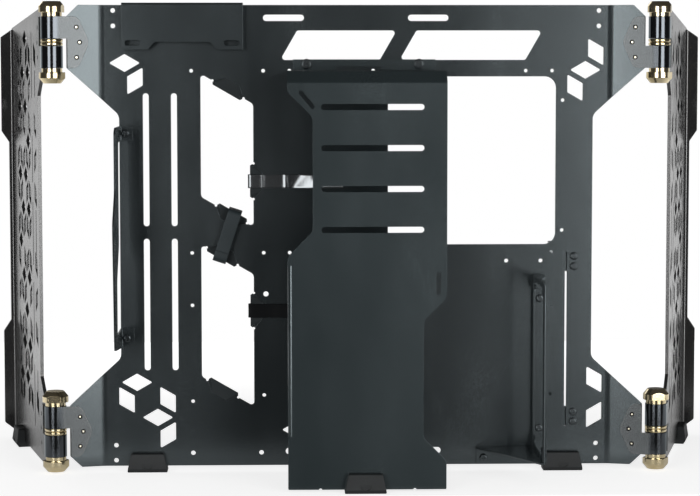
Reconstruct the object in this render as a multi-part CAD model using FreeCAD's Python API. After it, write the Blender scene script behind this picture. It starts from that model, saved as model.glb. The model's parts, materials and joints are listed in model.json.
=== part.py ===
import FreeCAD
import Part
import math
import os
from FreeCAD import Vector

# All sizes are in millimetres. +X is to the right seen from the cable side, +Y points to the
# board side, +Z is up. The cable face of the main plate lies at y = 0 while the pieces are built.

# Sheets and bends
plate_sheet = 2.0
panel_sheet = 1.5
wing_sheet = 3.0
bend_radius = 2.0
tab_bend_radius = 0.5
cut_margin = 1.0

# Main plate. The fold is where the faces of plate and ear would meet without their wide bend.
plate_half_height = 200.0
plate_bottom = 5.0
fold_half_span = 219.65
ear_reach = 30.25
ear_bend = 14.4
ear_bend_radius = 20.0
ear_edge_from_middle = 146.0
ear_corner_chamfer = 10.0
ear_corner_radius = 2.0
waist_inset = 14.85
waist_from_middle = 105.5
waist_radius = 9.0

# Board pattern on the main plate, from the common computer board standard
board_hole_radius = 1.6
board_column_x = 169.3
board_top_row = 348.6
board_rows = (0.0, 157.48, 203.2, 281.94)
board_columns = (0.0, 154.94, 227.33)
board_offset_column = 22.86
board_extra_drop = 5.2
board_side_column = 9.3
board_side_rows = (25.5, 138.3)
wide_board_columns = (249.9, 311.9)

# Openings of the main plate
cooler_window_left = 27.2
cooler_window_side = 145.6
cooler_window_bottom = 198.0
cooler_window_radius = 10.0
cable_window_left = -134.7
cable_window_width = 45.4
cable_window_sharp_radius = 2.5
cable_window_blunt_radius = 4.5
cable_window_slant = 30.0
upper_cable_window = (239.7, 346.2)
lower_cable_window = (82.8, 198.6)
slant_window_bottom = 357.8
slant_window_height = 25.4
slant_window_radius = 2.5
slant_windows = ((-65.9, 86.0), (37.1, 109.0))
top_slot_height = 5.5
top_slots = ((-80.6, 35.3), (44.4, 35.0))
top_slot_z = 394.0
long_slot_width = 5.2
long_slot_columns = (-181.8, -157.6)
long_slot_length = 115.0
long_slot_rows = (88.6, 214.3)
floor_slot = (-62.0, 135.6, 17.2, 6.0)
tie_hole_radius = 2.05
tie_holes = ((-142.6, 16.0), (-83.1, 16.1))
edge_hole_inset = 10.05
edge_hole_rows = (9.8, 23.0, 387.1, 400.3)
service_holes = ((-78.8, 155.2, 2.3), (130.3, 183.7, 1.75), (160.2, 183.7, 1.75))

# Cube lattice cut into the plate and the wings
lattice_edge = 20.6
lattice_bar = 4.4
lattice_corner = 0.9

# Strap scoops pressed out of the plate beside the cable windows
scoop_length = 31.0
scoop_inner_length = 14.0
scoop_depth = 7.5
scoop_lip = 3.0
scoop_rise = 3.0
scoop_taper = 2.0
scoop_overcut = 0.5
scoop_relief_radius = 1.1

# Hinges
hinge_rows = (36.5, 373.0)
barrel_radius = 9.5
barrel_length = 18.9
leaf_sheet = 2.2
leaf_edge_gap = 11.3
leaf_inset = 0.5
leaf_shoulder = 21.2
leaf_reach = 31.2
leaf_corner_radius = 7.0
leaf_tip_radius = 12.0
leaf_inner_radius = 1.4
pin_radius = 3.0
pin_clearance = 0.05
pin_share_in_cap = 0.6
ring_length = 6.1
ring_end_gap = 0.15
ring_outer_bead = 1.0
ring_inner_bead = 0.8
ring_groove_depth = 1.2
ring_groove_half = 0.15
cap_length = 13.0
cap_radius = 11.3
cap_flat_from_axis = 9.9
cap_neck_radius = 8.9
cap_neck_length = 3.4
cap_taper_length = 4.5
cap_top_radius = 7.6
cap_edge_radius = 0.4
cap_turns = {
    "left_bottom": (0.0, 60.0),
    "left_top": (80.0, 60.0),
    "right_bottom": (5.0, 60.0),
    "right_top": (75.0, 60.0),
}
rivet_radius = 1.5
rivet_head_radius = 1.85
rivet_head_height = 0.8
rivet_dome_radius = 0.6
rivet_well_radius = 1.95
rivet_well_depth = 1.2
rivet_tail_radius = 2.4
rivet_tail_height = 0.8
rivet_clearance = 0.05
rivet_rows = ((19.9, 12.9), (22.6, 0.0), (19.9, -12.9))

# Wings
wing_lean = 14.2
wing_reach = 206.0
wing_inner_top = 403.2
wing_outer_top = 388.0
wing_waist = 38.5
wing_waist_rows = (79.0, 327.5)
wing_ear_rows = (60.0, 349.5)
wing_corner_radius = 2.0
wing_outer_flange = 10.8
wing_narrow_flange = 3.8
wing_grip_rows = (14.5, 102.0, 291.5, 379.5)
wing_grip_slant = 10.4
wing_lattice_start = 119.0
wing_lattice_top = 377.7
wing_slot_width = 3.0
wing_slot_columns = (55.5, 75.0, 190.0)

# Rear cover
cover_left = -59.8
cover_right = 71.5
cover_front = 106.0
cover_top = 348.8
cover_bottom = 2.5
cover_facet = 9.4
cover_flange_height = 9.5
cover_flange_left = -54.8
cover_flange_right = 68.0
cover_notch = (-17.7, 20.9)
cover_notch_top = 352.2
cover_notch_depth = 7.0
cover_left_waist = 20.8
cover_left_waist_rows = (196.3, 331.6)
cover_right_waist = 19.3
cover_right_waist_rows = (26.4, 161.9)
cover_corner_radius = 8.0
cover_slot_left = -32.2
cover_slot_length = 84.8
cover_slot_height = 5.0
cover_slot_first = 218.4
cover_slot_pitch = 33.6
cover_slot_count = 4
cover_return_depth = 15.0
cover_return_rows = (47.0, 189.0)
cover_return_trim = 9.0
cover_edge_slot = (6.8, 164.2, 183.4, 4.3)
cover_slant_slot = (15.9, 325.3, 18.8, 3.8, 49.5)
cover_pin_radius = 1.2
cover_pin_insets = (26.8, 26.3)
cover_screw_x = (-43.2, 53.8)
cover_screw_head = 4.5
cover_screw_rise = 5.5
cover_bend_radius = 0.8

# Power supply bracket
supply_web_x = 153.5
supply_depth = 88.0
supply_bottom = 20.0
supply_top = 172.0
supply_rail = 4.5
supply_lip = 3.2
supply_top_lip = 8.5
supply_tab_width = 10.0
supply_tab_height = 17.0
supply_tab_rows = (37.0, 150.8)
supply_screw_offset = 6.0
supply_shelf_reach = 48.9
supply_shelf_tab_width = 12.8
supply_shelf_tab_drop = 14.6
supply_bolt_rows = 138.0
supply_bolt_depth = 64.0
supply_bolt_radius = 1.9
supply_ear_radius = 5.0
supply_window_radius = 3.0
supply_back_rail = 6.5
supply_top_lip_rows = (26.0, 46.0)
supply_shelf_front = 5.0
supply_shelf_tip = 2.0
supply_low_screw_drop = 9.05

# Side bracket at the waist
side_web_stand_off = 0.2
side_tab_reach = 12.0
side_arm_rows = ((109.0, 125.6), (288.2, 301.1))
side_screw_rows = (117.2, 294.8)
side_screw_offset = 5.6
side_hole_radius = 1.75
side_holes = ((70.0, 159.4), (70.0, 236.0), (48.0, 266.0))
side_low_reach = 76.0
side_low_rise = 6.0
side_reach = 88.0
side_reach_row = 222.0
side_high_reach = 65.0
side_high_row = 246.0
side_top_reach = 56.0
side_top_drop = 4.0
side_inner_reach = 54.0
side_inner_row = 172.0
side_waist_reach = 31.0
side_waist_row = 200.0
side_wide_radius = 12.0
side_small_radius = 4.0
side_slot = (48.0, 214.0, 244.0, 6.0)

# Top bracket hooked over the upper edge
hook_left = -201.6
hook_width = 103.8
hook_bottom = 366.8
hook_stand_off = 10.0
hook_lip = 11.0
hook_clearance = 0.3
hook_cut_width = 47.2
hook_cut_height = 6.5
hook_cut_lean = 6.7
hook_slot_length = 13.7
hook_slot_height = 4.6
hook_slot_inset = 9.6
hook_slot_rise = 5.6

# Card bracket on the board side
card_web_x = 180.0
card_slot_width = 3.4
card_slot_clearance = 0.1
card_bend_radius = 1.0
card_tab_back = 6.0
card_opening_radius = 1.5
card_seat_screw_share = 0.6
card_bottom = 38.5
card_top = 191.3
card_depth = 125.0
card_pitch = 20.32
card_count = 7
card_opening = 15.0
card_opening_start = 12.0
card_opening_end = 112.0
card_seat_width = 12.0
card_tab_reach = 15.0
card_tab_height = 17.0
card_screw_x = 189.4
card_screw_inner = 4.4
card_screw_outer = 13.2

# Screws
screw_shank_radius = 1.5
screw_hole_radius = 1.75
screw_head_radius = 3.5
screw_head_height = 2.2
screw_crown_radius = 1.4
screw_length = 6.0
cross_width = 1.0
cross_length = 4.0
cross_depth = 1.2

# Feet
foot_length = 35.0
foot_top_length = 28.0
foot_height = 16.5
foot_side = 8.0
foot_top_side = 6.2
foot_chamfer = 2.0
foot_recess_radius = 4.7
foot_recess_depth = 0.6
foot_recess_rise = 7.4
foot_shoulder = 4.0
foot_shoulder_inset = 0.6
foot_edge_radius = 1.0
foot_top_radius = 1.5
foot_grip_clearance = 0.1
main_foot_x = (-182.2, 180.0)
cover_foot_x = 4.3
wing_foot_start = 141.0

# Straps
strap_width = 11.8
strap_sheet = 1.4
strap_gap = 0.4
strap_seat_gap = 0.1
strap_bend_radius = 0.6
strap_back_length = 30.0
strap_landing = 2.0
upper_strap_z = 253.2
upper_strap_end = -12.0
lower_strap_z = 140.6
lower_strap_end = -40.0
strap_lean = 18.0
loop_stand_off = 8.0
loop_front_radius = 4.0
loop_back_radius = 2.0

waist_half_width = fold_half_span - waist_inset
edge_hole_x = fold_half_span - edge_hole_inset
side_web_x = -waist_half_width - side_web_stand_off
plate_middle = plate_bottom + plate_half_height
plate_top = plate_bottom + 2.0 * plate_half_height
lattice_step = lattice_edge * math.cos(math.radians(30.0))
barrel_offset = 0.5 * ring_length + ring_end_gap
leaf_half_height = barrel_offset + barrel_length
axis_from_fold = ear_reach + leaf_edge_gap
leaf_face = barrel_radius - leaf_sheet
far = 500.0


def on_xz(a, b):
    return Vector(a, 0.0, b)


def on_yz(a, b):
    return Vector(0.0, a, b)


def on_xy(a, b):
    return Vector(a, b, 0.0)


def rounded_face(corners, plane):
    """A face inside a closed outline of (a, b, radius) corners, round where the radius is above 0."""
    edges = []
    starts = []
    ends = []
    count = len(corners)
    for index in range(count):
        a, b, radius = corners[index]
        here = plane(a, b)
        before = plane(corners[index - 1][0], corners[index - 1][1])
        after = plane(corners[(index + 1) % count][0], corners[(index + 1) % count][1])
        if radius <= 0.0:
            starts.append(here)
            ends.append(here)
            edges.append(None)
            continue
        to_before = (before - here).normalize()
        to_after = (after - here).normalize()
        half = 0.5 * to_before.getAngle(to_after)
        reach = radius / math.tan(half)
        first = here + to_before * reach
        last = here + to_after * reach
        bisector = (to_before + to_after).normalize()
        middle = here + bisector * (radius / math.sin(half) - radius)
        starts.append(first)
        ends.append(last)
        edges.append(Part.Arc(first, middle, last).toShape())
    outline = []
    for index in range(count):
        if edges[index] is not None:
            outline.append(edges[index])
        following = (index + 1) % count
        if ends[index].distanceToPoint(starts[following]) > 1e-6:
            outline.append(Part.makeLine(ends[index], starts[following]))
    return Part.Face(Part.Wire(outline))


def prism(corners, plane, start, length):
    """An outline pushed along the plane's own normal, from start over length."""
    normals = {on_xz: Vector(0.0, 1.0, 0.0), on_yz: Vector(1.0, 0.0, 0.0), on_xy: Vector(0.0, 0.0, 1.0)}
    normal = normals[plane]
    face = rounded_face(corners, plane)
    face.translate(normal * start)
    return face.extrude(normal * length)


def block(low, high):
    return Part.makeBox(high[0] - low[0], high[1] - low[1], high[2] - low[2], Vector(*low))


def cylinder_y(x, z, radius, start, length):
    return Part.makeCylinder(radius, length, Vector(x, start, z), Vector(0.0, 1.0, 0.0))


def cylinder_x(y, z, radius, start, length):
    return Part.makeCylinder(radius, length, Vector(start, y, z), Vector(1.0, 0.0, 0.0))


def slot_cut(a0, a1, b, height, plane, start, length):
    """A slot with round ends from a0 to a1 along the plane's first direction."""
    radius = 0.499 * height
    low, high = b - 0.5 * height, b + 0.5 * height
    corners = [(a0, low, radius), (a1, low, radius), (a1, high, radius), (a0, high, radius)]
    return prism(corners, plane, start, length)


def upright_slot_cut(a, b0, b1, width, plane, start, length):
    radius = 0.499 * width
    left, right = a - 0.5 * width, a + 0.5 * width
    corners = [(left, b0, radius), (right, b0, radius), (right, b1, radius), (left, b1, radius)]
    return prism(corners, plane, start, length)


def folded_section(path, thickness, radius):
    """The outline of a bent sheet. The sheet lies to the left of its path."""
    count = len(path)
    directions = []
    for index in range(count - 1):
        da = path[index + 1][0] - path[index][0]
        db = path[index + 1][1] - path[index][1]
        size = math.hypot(da, db)
        directions.append((da / size, db / size))
    near = []
    back = []
    for index in range(count):
        a, b = path[index]
        if index == 0 or index == count - 1:
            da, db = directions[0] if index == 0 else directions[-1]
            near.append((a, b, 0.0))
            back.append((a - db * thickness, b + da * thickness, 0.0))
            continue
        da0, db0 = directions[index - 1]
        da1, db1 = directions[index]
        turn = math.atan2(da0 * db1 - db0 * da1, da0 * da1 + db0 * db1)
        shift = thickness / math.cos(0.5 * turn)
        na, nb = -(db0 + db1), da0 + da1
        size = math.hypot(na, nb)
        outer, inner = radius + thickness, radius
        near_radius, back_radius = (outer, inner) if turn > 0.0 else (inner, outer)
        near.append((a, b, near_radius))
        back.append((a + na / size * shift, b + nb / size * shift, back_radius))
    return near + back[::-1]


def fuse_all(shapes):
    whole = shapes[0]
    if len(shapes) > 1:
        whole = whole.multiFuse(shapes[1:])
    return whole.removeSplitter()


def mirrored_x(shape):
    return shape.mirror(Vector(0.0, 0.0, 0.0), Vector(1.0, 0.0, 0.0))


def turned(shape, origin, degrees):
    copy = shape.copy()
    copy.rotate(Vector(0.0, 0.0, 0.0), Vector(0.0, 0.0, 1.0), degrees)
    copy.translate(origin)
    return copy


def flipped(shape):
    copy = shape.copy()
    copy.rotate(Vector(0.0, 0.0, 0.0), Vector(1.0, 0.0, 0.0), 180.0)
    return copy


def bent_with_ear(shape, side):
    """Turns a shape drawn on the flat ear, right side 1 or left side -1, about its fold."""
    copy = shape.copy()
    copy.rotate(Vector(side * fold_half_span, 0.0, 0.0), Vector(0.0, 0.0, 1.0), -side * ear_bend)
    return copy


def hinge_origin(side):
    """Where a hinge axis stands after the ear is bent."""
    turn = FreeCAD.Rotation(Vector(0.0, 0.0, 1.0), -side * ear_bend)
    from_fold = Vector(side * axis_from_fold, leaf_face, 0.0)
    return Vector(side * fold_half_span, 0.0, 0.0) + turn.multVec(from_fold)


def lattice_face(kind, column, row):
    """Corners of one cube face, from the middle of the top face in column 0 and row 0."""
    inset = 0.5 * lattice_bar / math.sin(math.radians(60.0))
    edge = lattice_edge - 2.0 * inset
    across = edge * math.cos(math.radians(30.0))
    a = column * lattice_step
    b = -1.5 * lattice_edge * row
    if kind == "top":
        points = [(a - across, b), (a, b - 0.5 * edge), (a + across, b), (a, b + 0.5 * edge)]
    else:
        lean = 1.0 if kind == "right" else -1.0
        a += lean * 0.5 * lattice_step
        b -= 0.75 * lattice_edge
        low, high = -0.5 * edge - 0.25 * edge, 0.5 * edge - 0.25 * edge
        outer, inner = a + lean * 0.5 * across, a - lean * 0.5 * across
        rise = 0.5 * edge
        points = [(inner, b + low), (outer, b + low + rise), (outer, b + high + rise), (inner, b + high)]
    return points


def lattice_cut(faces, origin, corner, start, length):
    cuts = []
    for kind, column, row in faces:
        corners = [(origin[0] + a, origin[1] + b, corner) for a, b in lattice_face(kind, column, row)]
        cuts.append(prism(corners, on_xz, start, length))
    return cuts


def plate_section():
    """The bent sheet seen from above, its ears a little too long."""
    reach = ear_reach + ear_corner_chamfer
    end_x = fold_half_span + reach * math.cos(math.radians(ear_bend))
    end_y = -reach * math.sin(math.radians(ear_bend))
    path = [(-end_x, end_y), (-fold_half_span, 0.0), (fold_half_span, 0.0), (end_x, end_y)]
    return folded_section(path, plate_sheet, ear_bend_radius)


def plate_outline():
    """The right half of the outline as it is seen with bent ears, then its mirror image."""
    edge = fold_half_span + ear_reach * math.cos(math.radians(ear_bend))
    top = plate_half_height
    quarter = [
        (waist_half_width, waist_from_middle, waist_radius),
        (edge, ear_edge_from_middle, ear_corner_radius),
        (edge, top - ear_corner_chamfer, ear_corner_radius),
        (edge - ear_corner_chamfer, top, ear_corner_radius),
    ]
    right = [(x, plate_middle - dz, r) for x, dz, r in quarter[::-1]]
    right += [(x, plate_middle + dz, r) for x, dz, r in quarter]
    left = [(-x, z, r) for x, z, r in right[::-1]]
    return right + left


def cable_window(rows):
    """An upright window whose top and bottom run down to the right."""
    drop = cable_window_width * math.tan(math.radians(cable_window_slant))
    left = cable_window_left
    right = left + cable_window_width
    low, high = rows
    sharp, blunt = cable_window_sharp_radius, cable_window_blunt_radius
    return [(left, low, blunt), (right, low - drop, sharp), (right, high - drop, blunt), (left, high, sharp)]


def slant_window(left, width):
    lean = slant_window_height * math.tan(math.radians(30.0))
    low, high = slant_window_bottom, slant_window_bottom + slant_window_height
    corners = [(left, low), (left + width, low), (left + width + lean, high), (left + lean, high)]
    return [(x, z, slant_window_radius) for x, z in corners]


def scoop_places():
    """Middle of the window edge and the direction into the plate, for each strap scoop."""
    slant = math.radians(cable_window_slant)
    right = cable_window_left + cable_window_width
    centre = cable_window_left + 0.5 * cable_window_width
    half_drop = 0.5 * cable_window_width * math.tan(slant)
    up = 90.0 - cable_window_slant
    down = up + 180.0
    shift = math.tan(slant)
    places = []
    for rows, side_z, low_shift, high_shift in (
        (upper_cable_window, upper_strap_z, 3.6, 1.0),
        (lower_cable_window, lower_strap_z, -4.6, -4.6),
    ):
        low, high = rows[0] - half_drop, rows[1] - half_drop
        places.append((centre + high_shift, high - high_shift * shift, up))
        places.append((right, side_z, 0.0))
        places.append((centre + low_shift, low - low_shift * shift, down))
    return places


def scoop_wedge(spread):
    """The pressed form on a plate lying at z = 0 to -sheet, with the window towards -x."""
    half, inner = 0.5 * scoop_length, 0.5 * scoop_inner_length
    lip_half = half - scoop_taper
    lip = -scoop_lip
    base_left = Vector(0.0, -half, 0.0)
    base_right = Vector(0.0, half, 0.0)
    back_left = Vector(scoop_depth, -inner, 0.0)
    back_right = Vector(scoop_depth, inner, 0.0)
    top_left = Vector(lip - spread, -lip_half, scoop_rise + spread * scoop_rise / (scoop_depth + scoop_lip))
    top_right = Vector(top_left.x, lip_half, top_left.z)
    low_left = Vector(top_left.x, -lip_half, 0.0)
    low_right = Vector(top_left.x, lip_half, 0.0)
    polygons = [
        (base_left, back_left, back_right, base_right, low_right, low_left),
        (top_left, top_right, back_right, back_left),
        (low_left, low_right, top_right, top_left),
        (base_left, low_left, top_left),
        (base_left, top_left, back_left),
        (base_right, top_right, low_right),
        (base_right, back_right, top_right),
    ]
    faces = [Part.Face(Part.makePolygon(list(points) + [points[0]])) for points in polygons]
    return Part.Solid(Part.makeShell(faces))


def scoop_tools(x, z, degrees):
    """The metal that a scoop adds on the board side and the space it takes from the cable face."""
    added = scoop_wedge(0.0)
    hollow = scoop_wedge(scoop_overcut)
    hollow.translate(Vector(0.0, 0.0, -plate_sheet))
    mouth = scoop_wedge(scoop_overcut)
    mouth.translate(Vector(-scoop_overcut, 0.0, -plate_sheet))
    relief = []
    for edge in (-0.5 * scoop_length, 0.5 * scoop_length):
        start = Vector(0.0, edge, -plate_sheet - cut_margin)
        relief.append(Part.makeCylinder(scoop_relief_radius, plate_sheet + 2.0 * cut_margin, start))
    tools = []
    for shape in (added, hollow.fuse([mouth] + relief)):
        shape.rotate(Vector(0.0, 0.0, 0.0), Vector(1.0, 0.0, 0.0), -90.0)
        shape.rotate(Vector(0.0, 0.0, 0.0), Vector(0.0, 1.0, 0.0), -degrees)
        shape.translate(Vector(x, plate_sheet, z))
        tools.append(shape)
    return tools


def plate_lattice():
    """The cube faces near the four corners of the plate and one low in the middle."""
    through = (-cut_margin, plate_sheet + 2.0 * cut_margin)
    groups = (
        ((-199.9, 355.3), (("top", 0, 0), ("right", 0, 0))),
        ((198.2, 349.2), (("top", 0, 0), ("left", 0, 0), ("left", 1, -1))),
        ((-191.1, 78.2), (("top", 0, 0), ("left", 0, 0), ("top", 1, 1), ("right", 1, 1), ("left", 2, 0))),
        ((198.8, 63.6), (("right", 0, 0), ("left", 1, -1))),
        ((-51.8, 36.0), (("top", 0, 0),)),
    )
    cuts = []
    for origin, faces in groups:
        cuts += lattice_cut(faces, origin, lattice_corner, *through)
    return cuts


def plate_cuts():
    start, length = -cut_margin, plate_sheet + 2.0 * cut_margin
    cuts = plate_lattice()
    left, low = cooler_window_left, cooler_window_bottom
    right, top = left + cooler_window_side, low + cooler_window_side
    corners = [(left, low), (right, low), (right, top), (left, top)]
    cuts.append(prism([(x, z, cooler_window_radius) for x, z in corners], on_xz, start, length))
    for rows in (upper_cable_window, lower_cable_window):
        cuts.append(prism(cable_window(rows), on_xz, start, length))
    for left, width in slant_windows:
        cuts.append(prism(slant_window(left, width), on_xz, start, length))
    for left, width in top_slots:
        cuts.append(slot_cut(left, left + width, top_slot_z, top_slot_height, on_xz, start, length))
    for x in long_slot_columns:
        for low in long_slot_rows:
            high = low + long_slot_length
            cuts.append(upright_slot_cut(x, low, high, long_slot_width, on_xz, start, length))
    left, width, z, height = floor_slot
    cuts.append(slot_cut(left, left + width, z, height, on_xz, start, length))
    low, high = card_bottom - card_slot_clearance, card_top + card_slot_clearance
    card_left = card_web_x - card_slot_clearance
    cuts.append(block((card_left, start, low), (card_left + card_slot_width, start + length, high)))
    holes = [(x, z, tie_hole_radius) for x, z in tie_holes] + list(service_holes)
    holes += [(side * edge_hole_x, z, tie_hole_radius) for side in (-1, 1) for z in edge_hole_rows]
    holes += board_holes()
    holes += [(x, z, screw_hole_radius) for x, z in all_screw_places()]
    cuts += [cylinder_y(x, z, radius, start, length) for x, z, radius in holes]
    return cuts


def board_holes():
    """The standard board holes, then those of wide boards and two beside the cooler window."""
    window_top = cooler_window_bottom + cooler_window_side
    places = [(board_column_x - dx, board_top_row - dz) for dx in board_columns for dz in board_rows]
    places = [(x, z) for x, z in places if z < cooler_window_bottom or z > window_top]
    places.append((board_column_x - board_offset_column, board_top_row))
    near_column, outer_column = [board_column_x - dx for dx in wide_board_columns]
    for x in (near_column, outer_column):
        places += [(x, board_top_row), (x, board_top_row - board_rows[1])]
    places.append((outer_column, board_top_row - board_rows[2]))
    places.append((outer_column, board_top_row - board_rows[3] - board_extra_drop))
    places.append((near_column, board_top_row - board_rows[3]))
    places += [(board_column_x + board_side_column, board_top_row - drop) for drop in board_side_rows]
    return [(x, z, board_hole_radius) for x, z in places]


def cover_screw_places():
    return [(x, cover_top + cover_screw_rise) for x in cover_screw_x]


def supply_screw_places():
    upright = [(supply_web_x + supply_screw_offset, z) for z in supply_tab_rows]
    tab_left = supply_web_x - supply_shelf_reach
    low = (tab_left + 0.5 * supply_shelf_tab_width, supply_bottom - supply_low_screw_drop)
    return upright + [low]


def side_screw_places():
    return [(side_web_x + side_screw_offset, z) for z in side_screw_rows]


def card_screw_places():
    low = card_bottom + card_tab_height - card_screw_outer
    high = card_top - card_tab_height + card_screw_outer
    inner = card_screw_outer - card_screw_inner
    return [(card_screw_x, z) for z in (low, low + inner, high - inner, high)]


def all_screw_places():
    return cover_screw_places() + supply_screw_places() + side_screw_places() + card_screw_places()


def build_main_plate():
    sheet = prism(plate_section(), on_xy, 0.0, plate_top)
    sheet = sheet.common(prism(plate_outline(), on_xz, -far, 2.0 * far))
    rivets = [bent_with_ear(hole, side) for side in (-1, 1) for hole in ear_rivet_holes(side)]
    sheet = sheet.cut(Part.makeCompound(plate_cuts() + rivets))
    for x, z, degrees in scoop_places():
        added, taken = scoop_tools(x, z, degrees)
        sheet = sheet.fuse(added).cut(taken)
    return sheet.removeSplitter()


def ear_rivet_holes(side):
    """Rivet holes through the flat ear, for both of its hinges."""
    axis_x = side * (fold_half_span + axis_from_fold)
    start, length = -plate_sheet, 3.0 * plate_sheet
    radius = rivet_radius + rivet_clearance
    places = [(axis_x - side * dx, row + dz) for row in hinge_rows for dx, dz in rivet_rows]
    return [cylinder_y(x, z, radius, start, length) for x, z in places]


def build_leaf():
    """One hinge leaf with its knuckle above the middle. The leaf plate is on the -y side."""
    half = leaf_half_height
    inner = leaf_edge_gap + leaf_inset
    corners = [
        (0.0, barrel_offset, 0.0),
        (inner, barrel_offset, leaf_inner_radius),
        (inner, -half, leaf_inner_radius),
        (leaf_shoulder, -half, leaf_corner_radius),
        (leaf_reach, 0.0, leaf_tip_radius),
        (leaf_shoulder, half, leaf_corner_radius),
        (0.0, half, 0.0),
    ]
    plate = prism(corners, on_xz, -barrel_radius, leaf_sheet)
    barrel = Part.makeCylinder(barrel_radius, barrel_length, Vector(0.0, 0.0, barrel_offset))
    bore = Part.makeCylinder(pin_radius + pin_clearance, 4.0 * half, Vector(0.0, 0.0, -2.0 * half))
    leaf = plate.fuse(barrel).cut(bore)
    return leaf.cut(Part.makeCompound([rivet_seat(dx, dz) for dx, dz in rivet_rows])).removeSplitter()


def rivet_seat(x, z):
    """A hole through the leaf with a wider well for the rivet's head in its outer face."""
    start = -barrel_radius - cut_margin
    hole = cylinder_y(x, z, rivet_radius + rivet_clearance, start, leaf_sheet + 2.0 * cut_margin)
    return hole.fuse(cylinder_y(x, z, rivet_well_radius, start, rivet_well_depth + cut_margin))


def build_rivet(x, z, sheet):
    """A domed rivet sunk in its well and closed by a wider dome behind the sheet."""
    grip = leaf_sheet - rivet_well_depth + sheet
    profile = [
        (0.0, -grip - rivet_tail_height, 0.0),
        (rivet_tail_radius, -grip - rivet_tail_height, rivet_dome_radius),
        (rivet_tail_radius, -grip, 0.0),
        (rivet_radius, -grip, 0.0),
        (rivet_radius, 0.0, 0.0),
        (rivet_head_radius, 0.0, 0.0),
        (rivet_head_radius, rivet_head_height, rivet_dome_radius),
        (0.0, rivet_head_height, 0.0),
    ]
    rivet = spun(profile, 0.0)
    rivet.rotate(Vector(0.0, 0.0, 0.0), Vector(1.0, 0.0, 0.0), 90.0)
    rivet.translate(Vector(x, -barrel_radius + rivet_well_depth, z))
    return rivet


def build_leaf_rivets(sheet):
    return [build_rivet(dx, dz, sheet) for dx, dz in rivet_rows]


def spun(profile, base):
    """Turns an outline of (radius, height, corner radius) about the upright axis."""
    face = rounded_face([(radius, base + height, corner) for radius, height, corner in profile], on_xz)
    return face.revolve(Vector(0.0, 0.0, 0.0), Vector(0.0, 0.0, 1.0), 360.0)


def build_pin():
    length = 2.0 * (leaf_half_height + pin_share_in_cap * cap_length)
    return Part.makeCylinder(pin_radius, length, Vector(0.0, 0.0, -0.5 * length))


def build_ring():
    """The two-bead ring between the knuckles."""
    bore = pin_radius + pin_clearance
    half = 0.5 * ring_length
    upper = [
        (barrel_radius - ring_groove_depth, ring_groove_half, 0.0),
        (barrel_radius, ring_groove_half, ring_inner_bead),
        (barrel_radius, half, ring_outer_bead),
        (bore, half, 0.0),
    ]
    lower = [(radius, -height, corner) for radius, height, corner in upper[::-1]]
    return spun(lower + upper, 0.0)


def build_cap():
    """A turned end cap on the upper knuckle, with a blind hole for the pin and two wrench flats."""
    hole_depth = pin_share_in_cap * cap_length + pin_clearance
    bore = pin_radius + pin_clearance
    profile = [
        (bore, 0.0, 0.0),
        (cap_neck_radius, 0.0, 0.0),
        (cap_neck_radius, cap_neck_length, 0.0),
        (cap_radius, cap_neck_length, cap_edge_radius),
        (cap_radius, cap_length - cap_taper_length, cap_edge_radius),
        (cap_top_radius, cap_length, cap_edge_radius),
        (0.0, cap_length, 0.0),
        (0.0, hole_depth, 0.0),
        (bore, hole_depth, 0.0),
    ]
    flat = cap_flat_from_axis
    between_flats = block((-far, -flat, -cut_margin), (far, flat, cap_length + cut_margin))
    cap = spun(profile, 0.0).common(between_flats)
    cap.translate(Vector(0.0, 0.0, leaf_half_height + 0.5 * ring_end_gap))
    return cap


def hinge_places():
    places = []
    for side, side_name in ((-1, "left"), (1, "right")):
        for row, row_name in zip(hinge_rows, ("bottom", "top")):
            places.append((side, row, side_name + "_" + row_name))
    return places


def frame_leaf_turn(side):
    return ear_bend if side < 0 else 180.0 - ear_bend


def wing_turn(side):
    return 90.0 + wing_lean if side < 0 else 90.0 - wing_lean


def build_hinges(nodes):
    leaf = build_leaf()
    other_leaf = flipped(leaf)
    cap = build_cap()
    plate_rivets = build_leaf_rivets(plate_sheet)
    panel_rivets = build_leaf_rivets(wing_sheet)
    frame_rivets = []
    wing_rivets = {-1: [], 1: []}
    for side, row, name in hinge_places():
        origin = hinge_origin(side) + Vector(0.0, 0.0, row)
        on_frame, on_wing = (leaf, other_leaf) if side < 0 else (other_leaf, leaf)
        nodes["frame_leaf_" + name] = turned(on_frame, origin, frame_leaf_turn(side))
        nodes["wing_leaf_" + name] = turned(on_wing, origin, wing_turn(side))
        nodes["hinge_pin_" + name] = turned(build_pin(), origin, 0.0)
        nodes["hinge_ring_" + name] = turned(build_ring(), origin, 0.0)
        upper_turn, lower_turn = cap_turns[name]
        nodes["upper_cap_" + name] = turned(cap, origin, upper_turn)
        nodes["lower_cap_" + name] = turned(flipped(cap), origin, lower_turn)
        for rivet in plate_rivets:
            shape = rivet if side < 0 else flipped(rivet)
            frame_rivets.append(turned(shape, origin, frame_leaf_turn(side)))
        for rivet in panel_rivets:
            shape = flipped(rivet) if side < 0 else rivet
            wing_rivets[side].append(turned(shape, origin, wing_turn(side)))
    nodes["frame_leaf_rivets"] = Part.makeCompound(frame_rivets)
    nodes["left_wing_rivets"] = Part.makeCompound(wing_rivets[-1])
    nodes["right_wing_rivets"] = Part.makeCompound(wing_rivets[1])


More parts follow.
